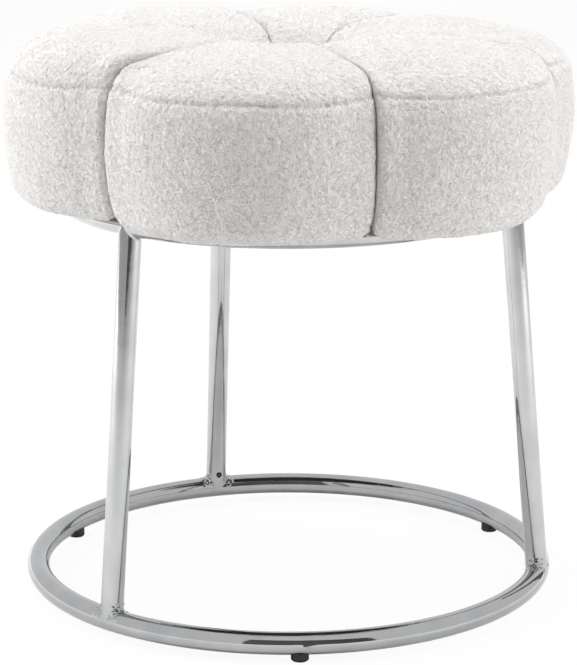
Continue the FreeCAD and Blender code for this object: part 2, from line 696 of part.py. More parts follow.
def underside(staple_group):
    """The cover's hem turned under the board and the thin dust cover over it, both held by the staples."""
    bolt_hole = disc("hem_bolt_hole", "bolt_diameter / 2 + hem_hole_clearance", RING_TOP, BOARD_BOTTOM, BOLT_CIRCLE)
    turns = [f"tab_turn + {angle}" for angle in TAB_ANGLES.values()]
    holes = round_the_axis("hem_bolt_holes", bolt_hole, turns)
    hem = washer("hem_ring", HEM_OUTER, f"{HEM_OUTER} - hem_width", HEM_BOTTOM, BOARD_BOTTOM)
    cut("cover_hem", hem, holes, staple_group)
    sheet_radius = "top_ring_radius - dust_cover_inset"
    cut("dust_cover", disc("dust_disc", sheet_radius, RING_TOP, HEM_BOTTOM), holes, staple_group)


def tufting():
    """Twine from a knot in the pit down through foam and board to a knot under a washer."""
    washer_low = f"({BOARD_BOTTOM} - tuft_washer_thickness)"
    washer("tuft_washer", "tuft_washer_diameter / 2", THROAT, washer_low, BOARD_BOTTOM)
    knot_rise = f"sqrt((pit_radius - {THROAT} + knot_radius + twine_clearance) ^ 2 - pit_radius ^ 2)"
    knot_level = f"{PIT_FLOOR} + {knot_rise}"
    upper_knot = primitive("Sphere", "upper_knot", {"Radius": "knot_radius", "Placement.Base.z": knot_level})
    lower_knot = disc("lower_knot", "knot_radius", f"({washer_low} - lower_knot_height)", washer_low)
    twine = disc("twine_run", "twine_diameter / 2", washer_low, f"({knot_level})")
    fuse("tuft_twine", upper_knot, twine, lower_knot)


rings_and_legs()
leg_beads("base_welds", "base_ring_radius", BASE_AXIS, base_rod, 1)
leg_beads("top_welds", "top_ring_radius", TOP_AXIS, top_rod, -1)
feet()
seat_tabs()
seat_fasteners()
staple_group = staples()
board_body = seat_board(staple_group)
foam_whole, twine_bore = cushion(board_body)
cut("foam_block", foam_whole, board_body, twine_bore)
underside(staple_group)
tufting()

NODES = [
    "base_ring", "top_ring", *LEG_ANGLES, "base_welds", "top_welds", *FOOT_ANGLES, *TAB_ANGLES, "tab_welds",
    "seat_bolts", "spring_washers", "flat_washers", "tee_nuts", "seat_board", "foam_block", *LOBE_ANGLES,
    "cover_hem", "dust_cover", "staples", "tuft_twine", "tuft_washer",
]

doc.recompute()
failed = [thing.Name for thing in doc.Objects if {"Invalid", "Error"} & set(thing.State)]
if failed:
    raise RuntimeError(f"these objects failed: {failed}")
os.makedirs("parts", exist_ok=True)
for name in NODES:
    shape = doc.getObject(name).Shape
    if shape.isNull() or not shape.isValid():
        raise RuntimeError(f"{name} has no valid shape")
    shape.exportStep(f"parts/{name}.step")
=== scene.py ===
import math

import bmesh
import bpy
from mathutils import Matrix, Vector, noise


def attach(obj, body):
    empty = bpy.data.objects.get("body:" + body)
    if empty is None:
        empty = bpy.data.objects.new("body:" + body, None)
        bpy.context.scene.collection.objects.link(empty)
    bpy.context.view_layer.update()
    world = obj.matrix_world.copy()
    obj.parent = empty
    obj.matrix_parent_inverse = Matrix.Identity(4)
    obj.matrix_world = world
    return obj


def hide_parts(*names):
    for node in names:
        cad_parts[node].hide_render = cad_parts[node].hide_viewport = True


# A vanity stool: six sewn lobes of curly pile round a middle tuft, on a chromed tube frame.
# Metres. -Y is the front. Angles are in degrees from +X towards +Y.

MM = 0.001

# The swirl of the curls and of the weld lumps is drawn from this seed, so that every run gives the same.
SWIRL_SEED = 1

# Each lobe's angle, how much fuller it is than the pattern, how far its shoulder stands up, and how far its
# skirt hangs over the ring.
LOBES = {
    "cover_back_right": (30, 6 * MM, 0, 12 * MM),
    "cover_back": (90, 0, -2 * MM, 6 * MM),
    "cover_back_left": (150, 1 * MM, 3 * MM, 4 * MM),
    "cover_front_left": (210, -1 * MM, 8 * MM, 6 * MM),
    "cover_front": (270, 0, 0, 8 * MM),
    "cover_front_right": (330, 4 * MM, 1 * MM, 10 * MM),
}
PATTERN = "cover_front"
HALF_SPAN = math.radians(30)
LOBE_OFFSET = 111.4 * MM

# The skin of a lobe, and how the filling swells it.
SAME_POINT = 0.01 * MM
WEAVE_CELL = 3 * MM
SEAM_LAP = 0.4 * MM
SEAM_HOLD = 1.2 * MM
SLACK = 1 * MM
PRESSURE = 4
SWELL_STEPS = 4
SWELL_FRAMES = 20
SWELL_LIMIT = 9 * MM

# The underside: where the skin faces down and lies under the seat.
FACES_DOWN = -0.3
HEM_REACH = 207 * MM

# The boxing seam between a lobe's top panel and its side band.
BOXING_LEVEL = 459.5 * MM
BOXING_WANDER = 3 * MM
BOXING_WAVES = 2.2
BOXING_PHASE = 4.5
BOXING_WIDTH = 2 * MM
BOXING_DEPTH = 1.8 * MM

# The valley between two lobes: a wide fill and a narrow one beside the seam, the distances from the middle
# over which they grow, and how far the skin has to tilt out of the seam plane.
VALLEY_WIDTH = 26 * MM
VALLEY_FILL = 4 * MM
CREASE_WIDTH = 8 * MM
CREASE_FILL = 4 * MM
VALLEY_REACH = (70 * MM, 215 * MM)
SKIN_TILT = (0.1, 0.35)

# The dish that the tuft pulls into the middle of the seat.
CREST = 488.3 * MM
TUFT_REACH = 53.5 * MM
TUFT_DEPTH = 40 * MM
TUFT_STEEPNESS = 2.85
TUFT_HOLD = 42 * MM

# Where a lobe's own fullness, shoulder and skirt begin and end.
FULL_FROM_LOBE = (60 * MM, 136 * MM)
FULL_REACH = (150 * MM, 220 * MM)
SHOULDER_LEVEL = (BOXING_LEVEL - 4 * MM, BOXING_LEVEL + 14 * MM)
SHOULDER_REACH = (120 * MM, 205 * MM)
SKIRT_LEVEL = (352 * MM, 430 * MM)
SKIRT_REACH = (HEM_REACH - 2 * MM, HEM_REACH + 4 * MM)

# The pile: curls of yarn, which are shorter beside a seam, on a skin with soft dimples. The finish paints
# shade where the pile is low.
CURL_SIZE = 3.6 * MM
CURL_HEIGHT = 1.5 * MM
SWIRL_SCALE = 0.8
CURL_SWIRL = 0.7
CURL_MIDDLE = 0.45
DIMPLE_SIZE = 45 * MM
DIMPLE_DEPTH = 1.6 * MM
SEAM_PILE = 0.35
SEAM_PILE_WIDTH = 3 * MM
GROOVE_SHARE = 0.6

# The foam inside the cover.
FOAM_CELL = 4 * MM
FOAM_INSET = 4 * MM
FOAM_COVER = 8 * MM

# The joints between the legs and the rings.
TUBE_RADIUS = 9.5 * MM
TUBE_SIDES = 32
BASE_RING = (222 * MM, 14.5 * MM)
TOP_RING = (193 * MM, 346 * MM)
LEAN = math.atan2(BASE_RING[0] - TOP_RING[0], TOP_RING[1] - BASE_RING[1])
LEG_TURNS = (0, 120, 240)
RING_STUB_SPAN = 14
RING_STUB_STEPS = 12
LEG_STUB = 22 * MM
GROUND_CELL = 0.9 * MM
GROUND_ROUNDS = 16
LUMPY_CELL = 0.8 * MM
LUMPY_ROUNDS = 24
VENT_RISE = 14.5 * MM
VENT_RADIUS = 2.8 * MM
VENT_SINK = 7 * MM

# The lumps of the welds at the legs' feet, and where they rise and fade above the ring and beside the leg.
LUMP_SIZE = 3.6 * MM
LUMP_HEIGHT = 2.2 * MM
LUMP_LEVEL = 0.75
LUMP_SWIRL = 0.3
LUMP_RISE = (0, 6 * MM)
LUMP_TOP = (14 * MM, 17 * MM)
LUMP_START = (4 * MM, 8 * MM)
LUMP_END = (13 * MM, 17 * MM)

# The cover's edge, folded under the board. It puckers more the nearer it comes to the middle.
HEM_CELL = 2 * MM
HEM_EDGE = 160 * MM
PUCKER_SIZE = 9 * MM
PUCKER_RISE = 10 * MM
PUCKER_DEPTH = 1.5 * MM

# The thin cloth below the seat, held by its staples.
DUST_RADIUS = 190 * MM
DUST_LEVEL = 355.9 * MM
DUST_THICKNESS = 0.6 * MM
DUST_SIDES = 144
DUST_RINGS = 26
STAPLE_COUNT = 24
STAPLE_WAVE = 0.15 * MM
DUST_WAVE = 0.5 * MM
DUST_WAVE_SIZE = 40 * MM
DUST_EDGE = 20 * MM

# The studio.
FLOOR_REACH = 6
FLOOR_GLOW = 0.92
LENS = 150.8
EYE = (0.4747, -2.3128, 0.808)
AIM = (0, 0, 0.2198)


# Finishes

def new_finish(name):
    """An empty finish, with its node tree and its shader."""
    finish = bpy.data.materials.new(name)
    finish.use_nodes = True
    return finish, finish.node_tree, finish.node_tree.nodes["Principled BSDF"]


def texture(tree, kind, scale, **settings):
    """A texture on the piece's own coordinates, at a scale in repeats per metre."""
    place = tree.nodes.new("ShaderNodeTexCoord")
    node = tree.nodes.new(f"ShaderNodeTex{kind}")
    tree.links.new(place.outputs["Object"], node.inputs["Vector"])
    node.inputs["Scale"].default_value = scale
    for name, value in settings.items():
        node.inputs[name].default_value = value
    return node


def ramp(tree, source, *stops):
    """Colours by a value from 0 to 1."""
    node = tree.nodes.new("ShaderNodeValToRGB")
    tree.links.new(source, node.inputs["Fac"])
    points = node.color_ramp.elements
    while len(points) < len(stops):
        points.new(0.5)
    for point, (place, colour) in zip(points, stops):
        point.position = place
        point.color = (*colour, 1)
    return node.outputs["Color"]


def bump(tree, shader, height, depth, under=None):
    """Small relief on a finish, over another relief if one is given."""
    node = tree.nodes.new("ShaderNodeBump")
    node.inputs["Distance"].default_value = depth
    node.inputs["Strength"].default_value = 1
    tree.links.new(height, node.inputs["Height"])
    if under:
        tree.links.new(under.outputs["Normal"], node.inputs["Normal"])
    tree.links.new(node.outputs["Normal"], shader.inputs["Normal"])
    return node


def curly_pile():
    """Ivory sherpa: matt tufts of curled yarn, with painted shade down between the curls and painted light
    on their tips.
    """
    finish, tree, shader = new_finish("curly_pile")
    height = tree.nodes.new("ShaderNodeAttribute")
    height.attribute_name = "pile"
    # Painted shade and light by the curls' height: darker down between the curls, lighter on their tips.
    down = (0.74, 0.71, 0.68)
    yarn = (0.87, 0.846, 0.82)
    painted_tip_light = (0.92, 0.90, 0.885)
    shade = ramp(tree, height.outputs["Fac"], (0, down), (0.4, yarn), (1, painted_tip_light))
    shader.inputs["Roughness"].default_value = 0.95
    shader.inputs["Specular IOR Level"].default_value = 0.15
    shader.inputs["Sheen Weight"].default_value = 0.35
    shader.inputs["Sheen Roughness"].default_value = 0.6
    curls = texture(tree, "Noise", 330, Detail=3, Distortion=2.2)
    first = bump(tree, shader, curls.outputs["Fac"], 2.5 * MM)
    fibres = texture(tree, "Noise", 1000, Detail=4, Distortion=1.5)
    bump(tree, shader, fibres.outputs["Fac"], 0.8 * MM, first)
    # Painted shade: the curl noise darkens the gaps between the curls, multiplied over the colour.
    shaded = (0.80, 0.78, 0.765)
    clear = (1, 1, 1)
    painted_gap_shade = ramp(tree, curls.outputs["Fac"], (0.36, shaded), (0.48, clear))
    blend = tree.nodes.new("ShaderNodeMix")
    blend.data_type = "RGBA"
    blend.blend_type = "MULTIPLY"
    blend.inputs["Factor"].default_value = 1
    tree.links.new(shade, blend.inputs["A"])
    tree.links.new(painted_gap_shade, blend.inputs["B"])
    tree.links.new(blend.outputs["Result"], shader.inputs["Base Color"])
    return finish


def chrome_plate(name, ripple):
    """Bright plated steel. The ripple is how uneven the metal under the plating is."""
    finish, tree, shader = new_finish(name)
    smoke = texture(tree, "Noise", 35, Detail=2)
    dark = (0.42, 0.425, 0.43)
    bright = (0.48, 0.483, 0.48)
    tint = ramp(tree, smoke.outputs["Fac"], (0.3, dark), (0.7, bright))
    tree.links.new(tint, shader.inputs["Base Color"])
    shader.inputs["Metallic"].default_value = 1
    shader.inputs["Roughness"].default_value = 0.06
    unevenness = texture(tree, "Noise", 90, Detail=2)
    bump(tree, shader, unevenness.outputs["Fac"], ripple)
    return finish


def moulded_rubber():
    """Black rubber, slightly dusty."""
    finish, tree, shader = new_finish("moulded_rubber")
    dust = texture(tree, "Noise", 240, Detail=4)
    clean = (0.012, 0.012, 0.012)
    dusty = (0.035, 0.034, 0.033)
    shade = ramp(tree, dust.outputs["Fac"], (0.35, clean), (0.75, dusty))
    tree.links.new(shade, shader.inputs["Base Color"])
    shader.inputs["Roughness"].default_value = 0.6
    bump(tree, shader, dust.outputs["Fac"], 0.15 * MM)
    return finish


def plated_steel(name, low, high, roughness):
    """Zinc-plated or bare wire steel."""
    finish, tree, shader = new_finish(name)
    grain = texture(tree, "Noise", 700, Detail=3)
    shade = ramp(tree, grain.outputs["Fac"], (0.3, low), (0.7, high))
    tree.links.new(shade, shader.inputs["Base Color"])
    shader.inputs["Metallic"].default_value = 1
    shader.inputs["Roughness"].default_value = roughness
    bump(tree, shader, grain.outputs["Fac"], 0.04 * MM)
    return finish


def birch_ply():
    """Birch plywood: long grain on the faces and thin plies at the edge."""
    finish, tree, shader = new_finish("birch_ply")
    place = tree.nodes.new("ShaderNodeTexCoord")
    stretch = tree.nodes.new("ShaderNodeMapping")
    stretch.inputs["Scale"].default_value = (6, 90, 420)
    tree.links.new(place.outputs["Object"], stretch.inputs["Vector"])
    grain = tree.nodes.new("ShaderNodeTexNoise")
    grain.inputs["Scale"].default_value = 1
    grain.inputs["Detail"].default_value = 5
    tree.links.new(stretch.outputs["Vector"], grain.inputs["Vector"])
    late_wood = (0.42, 0.29, 0.17)
    early_wood = (0.68, 0.53, 0.35)
    shade = ramp(tree, grain.outputs["Fac"], (0.3, late_wood), (0.65, early_wood))
    tree.links.new(shade, shader.inputs["Base Color"])
    shader.inputs["Roughness"].default_value = 0.7
    bump(tree, shader, grain.outputs["Fac"], 0.1 * MM)
    return finish


def cut_foam():
    """Pale cut foam with open cells, with painted shade in their hollows."""
    finish, tree, shader = new_finish("cut_foam")
    cells = texture(tree, "Voronoi", 900, Randomness=1)
    # Painted shade: the cells are lighter at their walls and darker in their hollows.
    wall = (0.86, 0.80, 0.62)
    painted_hollow_shade = (0.66, 0.60, 0.44)
    shade = ramp(tree, cells.outputs["Distance"], (0, wall), (0.8, painted_hollow_shade))
    tree.links.new(shade, shader.inputs["Base Color"])
    shader.inputs["Roughness"].default_value = 0.9
    bump(tree, shader, cells.outputs["Distance"], 0.4 * MM)
    return finish


def plain_cloth(name, low, high):
    """Thin cloth with a fine even weave and a little fluff."""
    finish, tree, shader = new_finish(name)
    weave = texture(tree, "Voronoi", 1300, Randomness=0.5)
    fluff = texture(tree, "Noise", 180, Detail=5)
    shade = ramp(tree, fluff.outputs["Fac"], (0.3, low), (0.7, high))
    tree.links.new(shade, shader.inputs["Base Color"])
    shader.inputs["Roughness"].default_value = 0.9
    shader.inputs["Sheen Weight"].default_value = 0.15
    bump(tree, shader, weave.outputs["Distance"], 0.25 * MM)
    return finish


def waxed_twine():
    """Pale twisted twine, with painted shade between its strands."""
    finish, tree, shader = new_finish("waxed_twine")
    strands = texture(tree, "Wave", 300, Distortion=2)
    # Painted shade: darker in the grooves between the strands.
    between = (0.55, 0.50, 0.42)
    strand = (0.80, 0.76, 0.68)
    shade = ramp(tree, strands.outputs["Fac"], (0.2, between), (0.8, strand))
    tree.links.new(shade, shader.inputs["Base Color"])
    shader.inputs["Roughness"].default_value = 0.6
    bump(tree, shader, strands.outputs["Fac"], 0.2 * MM)
    return finish


def finish_nodes():
    """A finish on every node of the part that stays in view."""
    chrome = chrome_plate("chrome_tube", ripple=0.05 * MM)
    zinc = plated_steel("zinc_plate", low=(0.50, 0.51, 0.52), high=(0.66, 0.66, 0.64), roughness=0.3)
    wire = plated_steel("staple_wire", low=(0.40, 0.40, 0.41), high=(0.55, 0.55, 0.55), roughness=0.35)
    rubber = moulded_rubber()
    finishes = {
        "base_ring": chrome,
        "top_ring": chrome,
        "leg_right": chrome,
        "leg_back": chrome,
        "leg_front_left": chrome,
        "seat_tab_back_right": chrome,
        "seat_tab_left": chrome,
        "seat_tab_front_right": chrome,
        "tab_welds": chrome,
        "foot_back_right": rubber,
        "foot_left": rubber,
        "foot_front": rubber,
        "seat_bolts": zinc,
        "spring_washers": zinc,
        "flat_washers": zinc,
        "tee_nuts": zinc,
        "tuft_washer": zinc,
        "staples": wire,
        "seat_board": birch_ply(),
        "tuft_twine": waxed_twine(),
    }
    for name, finish in finishes.items():
        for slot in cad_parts[name].material_slots:
            slot.material = finish


# Pieces

def new_piece(name, bm, finish):
    """A mesh piece with smooth faces and one finish."""
    mesh = bpy.data.meshes.new(name)
    bm.to_mesh(mesh)
    bm.free()
    mesh.materials.append(finish)
    for face in mesh.polygons:
        face.use_smooth = True
    piece = bpy.data.objects.new(name, mesh)
    bpy.context.scene.collection.objects.link(piece)
    return piece


def settle(piece):
    """Apply a piece's modifiers to its mesh."""
    graph = bpy.context.evaluated_depsgraph_get()
    mesh = bpy.data.meshes.new_from_object(piece.evaluated_get(graph))
    piece.modifiers.clear()
    piece.data = mesh
    for face in mesh.polygons:
        face.use_smooth = True


def push(piece, lifts):
    """Move each vertex of a piece along its normal by its own distance."""
    normals = [vertex.normal.copy() for vertex in piece.data.vertices]
    for vertex, normal, lift in zip(piece.data.vertices, normals, lifts):
        vertex.co += normal * lift


def remesh(piece, cell):
    """Even out a closed mesh to cells of one size."""
    voxels = piece.modifiers.new("cells", "REMESH")
    voxels.mode = "VOXEL"
    voxels.voxel_size = cell
    settle(piece)


def merged(node):
    """A copy of a CAD node's mesh, with its loose triangles joined."""
    bm = bmesh.new()
    bm.from_mesh(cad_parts[node].data)
    bmesh.ops.remove_doubles(bm, verts=bm.verts, dist=SAME_POINT)
    return bm


def ease(value, low, high):
    """A smooth rise from 0 at the low end to 1 at the high end."""
    share = min(1, max(0, (value - low) / (high - low)))
    return share * share * (3 - 2 * share)


# The cushion

def seam_normals():
    """The directions into a lobe that points along +X, square to its two seam planes."""
    inward = math.sin(HALF_SPAN)
    sideways = math.cos(HALF_SPAN)
    return Vector((inward, -sideways, 0)), Vector((inward, sideways, 0))


def from_seam(point):
    """How far a point of such a lobe is from its nearer seam plane."""
    return point.x * math.sin(HALF_SPAN) - abs(point.y) * math.cos(HALF_SPAN)


def boxing_line(point):
    """The level of the sewn boxing seam beside a point. It wanders a little, as the real one does."""
    way = (point.xy - Vector((LOBE_OFFSET, 0))).normalized()
    wave = noise.noise(Vector((way.x * BOXING_WAVES, way.y * BOXING_WAVES, BOXING_PHASE)))
    return BOXING_LEVEL + BOXING_WANDER * wave


def tufted_top(reach):
    """The highest level of the seat at a distance from the middle, where the tuft pulls it down."""
    return CREST - TUFT_DEPTH * math.exp(-(reach / TUFT_REACH) ** TUFT_STEEPNESS)


def is_underneath(normal, reach):
    """True for skin that lies under the seat, inside the hem."""
    return normal.z < FACES_DOWN and reach < HEM_REACH


def turn_about_middle(piece, degrees):
    """Turn a piece's mesh about the seat's upright axis."""
    piece.data.transform(Matrix.Rotation(math.radians(degrees), 4, "Z"))


def lobe_blank(finish):
    """A closed lobe that points along +X: the hull of a cover's own outline, dished at its tip."""
    bm = bmesh.new()
    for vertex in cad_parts[PATTERN].data.vertices:
        bm.verts.new(vertex.co)
    bmesh.ops.remove_doubles(bm, verts=bm.verts, dist=SAME_POINT)
    hull = bmesh.ops.convex_hull(bm, input=bm.verts)
    inside = {item for item in hull["geom_interior"] if isinstance(item, bmesh.types.BMVert)}
    bmesh.ops.delete(bm, geom=list(inside), context="VERTS")
    bmesh.ops.recalc_face_normals(bm, faces=bm.faces)
    blank = new_piece("pattern_lobe", bm, finish)
    turn_about_middle(blank, -LOBES[PATTERN][0])
    remesh(blank, WEAVE_CELL)
    for vertex in blank.data.vertices:
        vertex.co.z = min(vertex.co.z, tufted_top(vertex.co.xy.length))
    remesh(blank, WEAVE_CELL)
    return blank


def is_sewn(vertex):
    """Whether a seam plane, the underside or the tuft holds the skin, and whether the boxing seam does."""
    reach = vertex.co.xy.length
    beside = from_seam(vertex.co) < SEAM_HOLD
    below = is_underneath(vertex.normal, reach)
    tufted = reach < TUFT_HOLD
    boxed = abs(vertex.co.z - boxing_line(vertex.co)) < BOXING_WIDTH / 2 and reach > LOBE_OFFSET
    return beside or below or tufted, boxed


def keep_inside(piece):
    """Push back the skin where it went further past a seam plane than two lobes may overlap."""
    for vertex in piece.data.vertices:
        for inward in seam_normals():
            past = -SEAM_LAP - vertex.co.dot(inward)
            if past > 0:
                vertex.co += inward * past


def stuff(piece):
    """Let the skin swell between its seams under the pressure of the filling."""
    sewn = piece.vertex_groups.new(name="sewn")
    held = []
    lifts = []
    for vertex in piece.data.vertices:
        fixed, boxed = is_sewn(vertex)
        if fixed or boxed:
            held.append(vertex.index)
        if fixed:
            lifts.append(0)
        elif boxed:
            lifts.append(-BOXING_DEPTH)
        else:
            lifts.append(-SLACK)
    sewn.add(held, 1, "REPLACE")
    push(piece, lifts)
    before = [vertex.co.copy() for vertex in piece.data.vertices]
    cloth = piece.modifiers.new("stuffing", "CLOTH")
    cloth.settings.vertex_group_mass = "sewn"
    cloth.settings.use_pressure = True
    cloth.settings.uniform_pressure_force = PRESSURE
    cloth.settings.effector_weights.gravity = 0
    cloth.settings.quality = SWELL_STEPS
    cloth.point_cache.frame_start = 1
    cloth.point_cache.frame_end = SWELL_FRAMES
    for number in range(1, SWELL_FRAMES + 1):
        bpy.context.scene.frame_set(number)
    settle(piece)
    for vertex, start in zip(piece.data.vertices, before):
        moved = vertex.co - start
        if moved.length > SWELL_LIMIT:
            vertex.co = start + moved.normalized() * SWELL_LIMIT
    bpy.context.scene.frame_set(1)


def fill_valleys(piece):
    """Bring the skin up beside the seams, so that two lobes meet in a shallow valley."""
    normals = [vertex.normal.copy() for vertex in piece.data.vertices]
    for vertex, normal in zip(piece.data.vertices, normals):
        reach = vertex.co.xy.length
        if is_underneath(normal, reach):
            continue
        across = seam_normals()[0 if vertex.co.y > 0 else 1]
        along = normal - across * normal.dot(across)
        wide = VALLEY_FILL * (1 - ease(from_seam(vertex.co), 0, VALLEY_WIDTH))
        narrow = CREASE_FILL * (1 - ease(from_seam(vertex.co), 0, CREASE_WIDTH))
        skin = ease(along.length, *SKIN_TILT)
        vertex.co += along.normalized() * (wide + narrow) * skin * ease(reach, *VALLEY_REACH)


def pattern_lobe(finish):
    """The one lobe that all six are cut and stuffed like. It points along +X."""
    lobe = lobe_blank(finish)
    stuff(lobe)
    keep_inside(lobe)
    fill_valleys(lobe)
    keep_inside(lobe)
    smooth = lobe.modifiers.new("fine", "SUBSURF")
    smooth.levels = 1
    smooth.render_levels = 1
    settle(lobe)
    return lobe


def fit_lobe(piece, fuller, shoulder, hang):
    """Give one lobe its own fullness and shoulder, and let its skirt hang down past the ring."""
    for vertex in piece.data.vertices:
        out = Vector((vertex.co.x - LOBE_OFFSET, vertex.co.y, 0))
        reach = vertex.co.xy.length
        side = ease(out.length, *FULL_FROM_LOBE) * ease(reach, *FULL_REACH)
        low = 1 - ease(vertex.co.z, *SKIRT_LEVEL)
        top = ease(vertex.co.z, *SHOULDER_LEVEL)
        vertex.co += out.normalized() * fuller * side
        vertex.co.z += shoulder * top * ease(reach, *SHOULDER_REACH)
        vertex.co.z -= hang * low * ease(reach, *SKIRT_REACH)


def raise_pile(piece, angle):
    """Sink the boxing seam, dimple the skin and raise the curls, whose height the finish reads to paint
    shade where the pile is low: between the curls, beside a seam, in the boxing groove and under the seat.
    """
    shift = Vector((angle, 0, 0))
    lifts = []
    heights = []
    for vertex in piece.data.vertices:
        reach = vertex.co.xy.length
        if is_underneath(vertex.normal, reach):
            lifts.append(0)
            heights.append(0)
            continue
        length = SEAM_PILE + (1 - SEAM_PILE) * ease(from_seam(vertex.co), 0, SEAM_PILE_WIDTH)
        cell = vertex.co / CURL_SIZE + shift
        swirl = noise.noise_vector(cell * SWIRL_SCALE) * CURL_SWIRL
        tuft = 1 - min(1, noise.voronoi(cell + swirl)[0][0])
        dimple = noise.noise(vertex.co / DIMPLE_SIZE + shift)
        off_line = (vertex.co.z - boxing_line(vertex.co)) / BOXING_WIDTH
        groove = math.exp(-off_line * off_line) if reach > LOBE_OFFSET else 0
        curl = (tuft - CURL_MIDDLE) * CURL_HEIGHT
        lift = curl + dimple * DIMPLE_DEPTH - groove * BOXING_DEPTH * GROOVE_SHARE
        lifts.append(lift * length)
        # Painted shade: the finish darkens the skin where these heights are low.
        heights.append(tuft * length * (1 - GROOVE_SHARE * groove))
    push(piece, lifts)
    piece.data.attributes.new("pile", "FLOAT", "POINT").data.foreach_set("value", heights)


def sewn_lobe(node, pattern, angle, fuller, shoulder, hang):
    """One padded lobe of the cushion."""
    lobe = bpy.data.objects.new(f"{node}_pile", pattern.data.copy())
    bpy.context.scene.collection.objects.link(lobe)
    fit_lobe(lobe, fuller, shoulder, hang)
    raise_pile(lobe, angle)
    keep_inside(lobe)
    turn_about_middle(lobe, angle)
    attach(lobe, "root")
    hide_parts(node)


def lobed_foam(finish):
    """The block of foam inside the cover, a little smaller than the covers, and dished under the tuft."""
    foam = new_piece("foam_block_cut", merged("foam_block"), finish)
    remesh(foam, FOAM_CELL)
    push(foam, [-FOAM_INSET] * len(foam.data.vertices))
    for vertex in foam.data.vertices:
        vertex.co.z = min(vertex.co.z, tufted_top(vertex.co.xy.length) - FOAM_COVER)
    remesh(foam, FOAM_CELL)
    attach(foam, "root")
    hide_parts("foam_block")


# The welds

def joint_blanks(ring, way):
    """Short stubs of ring and leg at the three joints, as rods. The way is 1 for a leg that goes up from
    its ring, and -1 for one that goes down."""
    radius, level = ring
    half = LEG_STUB / 2
    bm = bmesh.new()
    for turn in LEG_TURNS:
        loop = bmesh.ops.create_circle(bm, cap_ends=True, segments=TUBE_SIDES, radius=TUBE_RADIUS)["verts"]
        start = math.radians(turn - RING_STUB_SPAN / 2)
        bmesh.ops.rotate(bm, verts=loop, matrix=Matrix.Rotation(math.radians(90), 3, "X"))
        bmesh.ops.translate(bm, verts=loop, vec=(radius, 0, level))
        bmesh.ops.rotate(bm, verts=loop, matrix=Matrix.Rotation(start, 3, "Z"))
        faces = list(dict.fromkeys(face for vertex in loop for face in vertex.link_faces))
        edges = list(dict.fromkeys(edge for vertex in loop for edge in vertex.link_edges))
        rod = loop + edges + faces
        span = math.radians(RING_STUB_SPAN)
        bmesh.ops.spin(bm, geom=rod, axis=(0, 0, 1), angle=span, steps=RING_STUB_STEPS)
        stub = bmesh.ops.create_cone(
            bm, cap_ends=True, segments=TUBE_SIDES, radius1=TUBE_RADIUS, radius2=TUBE_RADIUS, depth=LEG_STUB
        )["verts"]
        bmesh.ops.translate(bm, verts=stub, vec=(0, 0, half * way))
        bmesh.ops.rotate(bm, verts=stub, matrix=Matrix.Rotation(-LEAN, 3, "Y"))
        bmesh.ops.translate(bm, verts=stub, vec=(radius, 0, level))
        bmesh.ops.rotate(bm, verts=stub, matrix=Matrix.Rotation(math.radians(turn), 3, "Z"))
    bmesh.ops.recalc_face_normals(bm, faces=bm.faces)
    return bm


def soften(piece, rounds):
    """Round off a mesh, which fills its inside corners."""
    bm = bmesh.new()
    bm.from_mesh(piece.data)
    every_way = {"use_axis_x": True, "use_axis_y": True, "use_axis_z": True}
    for _ in range(rounds):
        bmesh.ops.smooth_vert(bm, verts=bm.verts, factor=0.5, **every_way)
    bm.to_mesh(piece.data)
    bm.free()


def clear_vents(piece):
    """Sink the weld metal away behind the vent holes in the legs."""
    for turn in LEG_TURNS:
        outward = Vector((math.cos(math.radians(turn)), math.sin(math.radians(turn)), 0))
        vent = outward * (BASE_RING[0] - TUBE_RADIUS) + Vector((0, 0, BASE_RING[1] + VENT_RISE))
        for vertex in piece.data.vertices:
            near = (vertex.co - vent).length
            if near < 2 * VENT_RADIUS:
                vertex.co += outward * VENT_SINK * (1 - ease(near, VENT_RADIUS, 2 * VENT_RADIUS))


def from_leg(point):
    """How far a point is from the nearest upright plane through a leg and the middle."""
    turned = math.atan2(point.y, point.x)
    return min(abs(point.xy.length * math.sin(turned - math.radians(turn))) for turn in LEG_TURNS)


def ground_welds(finish):
    """The welds under the seat, ground smooth into the corners."""
    welds = new_piece("top_welds_ground", joint_blanks(TOP_RING, -1), finish)
    remesh(welds, GROUND_CELL)
    soften(welds, GROUND_ROUNDS)
    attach(welds, "root")
    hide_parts("top_welds")


def lumpy_welds(finish):
    """The welds at the feet of the legs, left in uneven lumps under the plating."""
    welds = new_piece("base_welds_lumpy", joint_blanks(BASE_RING, 1), finish)
    remesh(welds, LUMPY_CELL)
    soften(welds, LUMPY_ROUNDS)
    lumps = []
    for vertex in welds.data.vertices:
        cell = vertex.co / LUMP_SIZE
        lump = LUMP_LEVEL - noise.voronoi(cell + noise.noise_vector(cell) * LUMP_SWIRL)[0][0]
        above = vertex.co.z - BASE_RING[1]
        beside = from_leg(vertex.co)
        upright = ease(above, *LUMP_RISE) * (1 - ease(above, *LUMP_TOP))
        sideways = ease(beside, *LUMP_START) * (1 - ease(beside, *LUMP_END))
        lumps.append(lump * LUMP_HEIGHT * upright * sideways)
    push(welds, lumps)
    clear_vents(welds)
    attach(welds, "root")
    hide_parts("base_welds")


# The underside

def turned_hem(finish):
    """The edge of the cover, folded under the board."""
    hem = new_piece("cover_hem_fold", merged("cover_hem"), finish)
    remesh(hem, HEM_CELL)
    for vertex in hem.data.vertices:
        reach = vertex.co.xy.length
        if reach < HEM_EDGE:
            pucker = noise.noise(vertex.co / PUCKER_SIZE) * (HEM_EDGE - reach) / PUCKER_RISE
            vertex.co -= Vector((vertex.co.x, vertex.co.y, 0)).normalized() * pucker * PUCKER_DEPTH
    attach(hem, "root")
    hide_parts("cover_hem")


